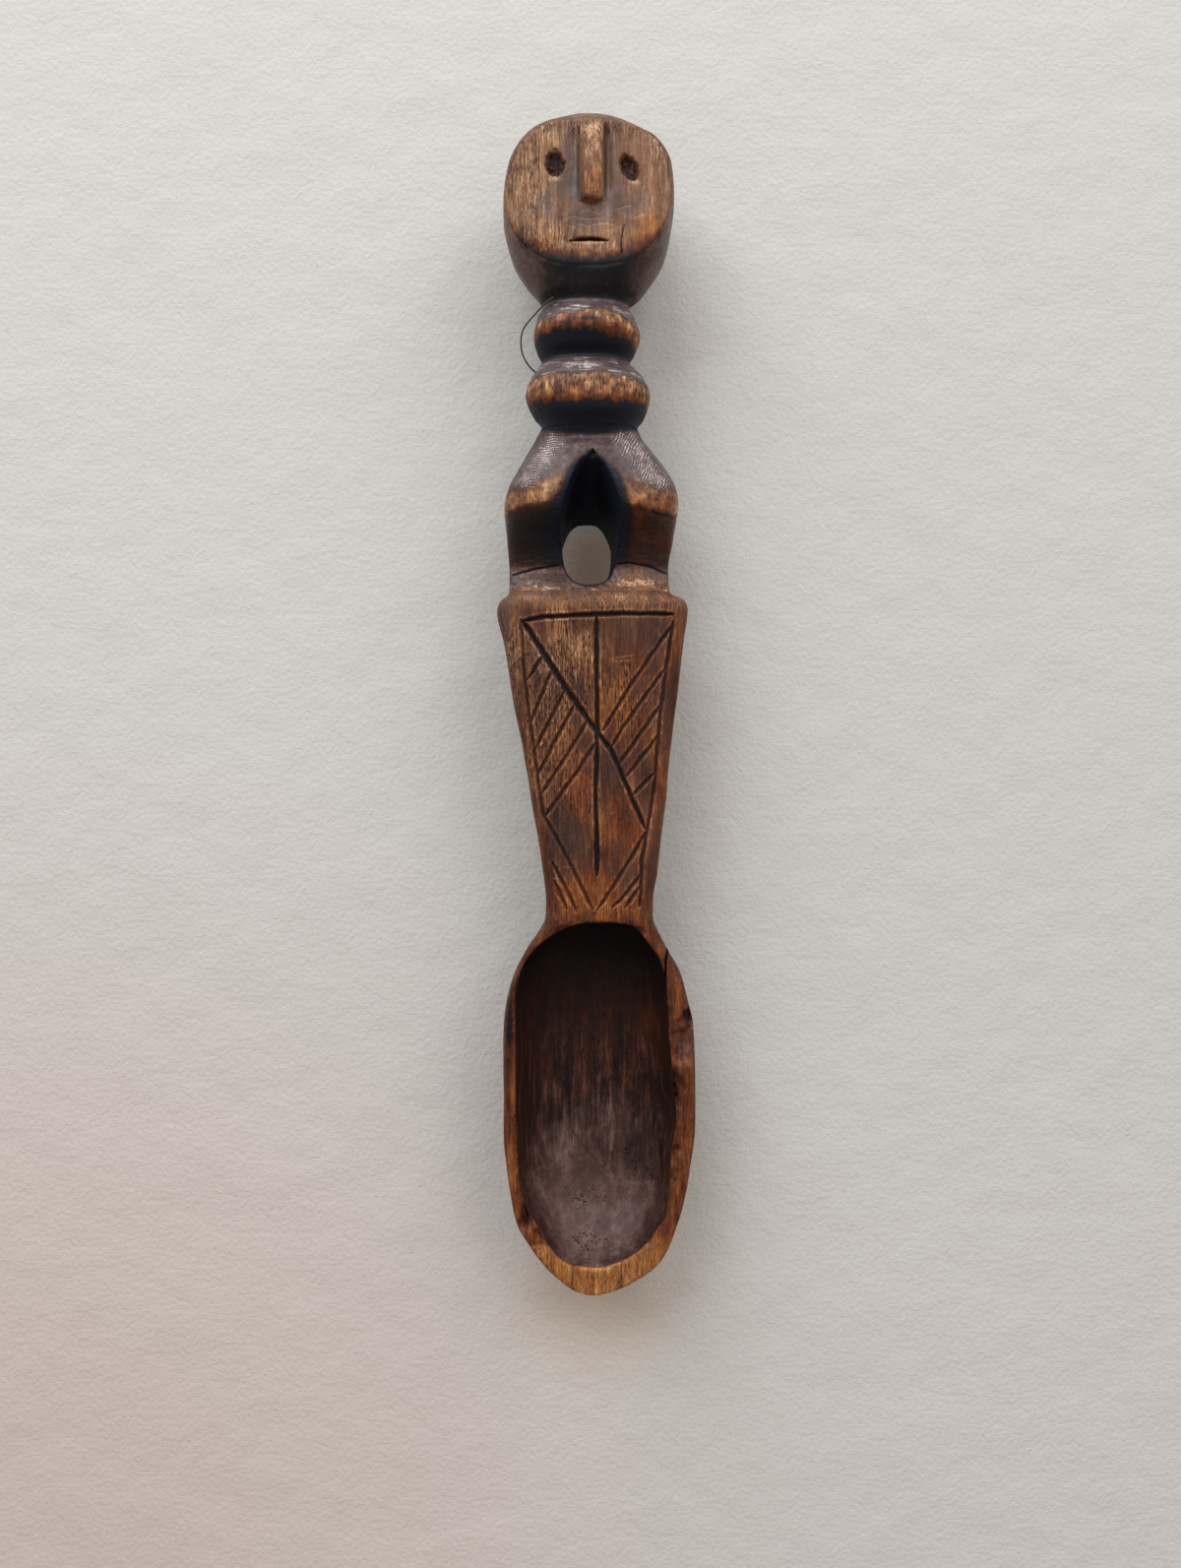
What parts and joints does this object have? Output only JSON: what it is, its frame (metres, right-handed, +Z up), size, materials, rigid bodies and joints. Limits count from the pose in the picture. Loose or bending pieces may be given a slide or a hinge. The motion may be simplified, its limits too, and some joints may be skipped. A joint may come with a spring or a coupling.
{
  "type": "carved spoon",
  "caption": "Carved wooden spoon with a deep oval bowl, a flat incised handle panel, a squatting figure with an arched opening between its legs, neck rings and a flat-faced round head.",
  "frame": {"origin": "centre of the spoon's bounding box at the height of the surface that it rests on", "axes": "+Y along the spoon from the bowl's tip to the crown of the head, +Z up out of the bowl and the face, +X to the right seen from above with the head away"},
  "size_m": [0.0368, 0.22, 0.0238],
  "materials": {
    "face_wood": "worn tan hardwood with fine pores, dark patina in the cuts, satin",
    "worn_dark_wood": "dark handling patina, rubbed tan on the ridges, semi-gloss",
    "panel_wood": "reddish brown hardwood with dark incised lines, satin",
    "bowl_wood": "dark brown inside with a greyish smooth patina, tan worn rim, satin",
    "thread": "fine near-black thread, matt"
  },
  "bodies": {
    "root": {"head": "face_wood", "upper_neck_ring": "worn_dark_wood", "lower_neck_ring": "worn_dark_wood", "figure_body": "worn_dark_wood", "handle_panel": "panel_wood", "bowl": "bowl_wood", "neck_thread": "thread"}
  },
  "joints": []
}
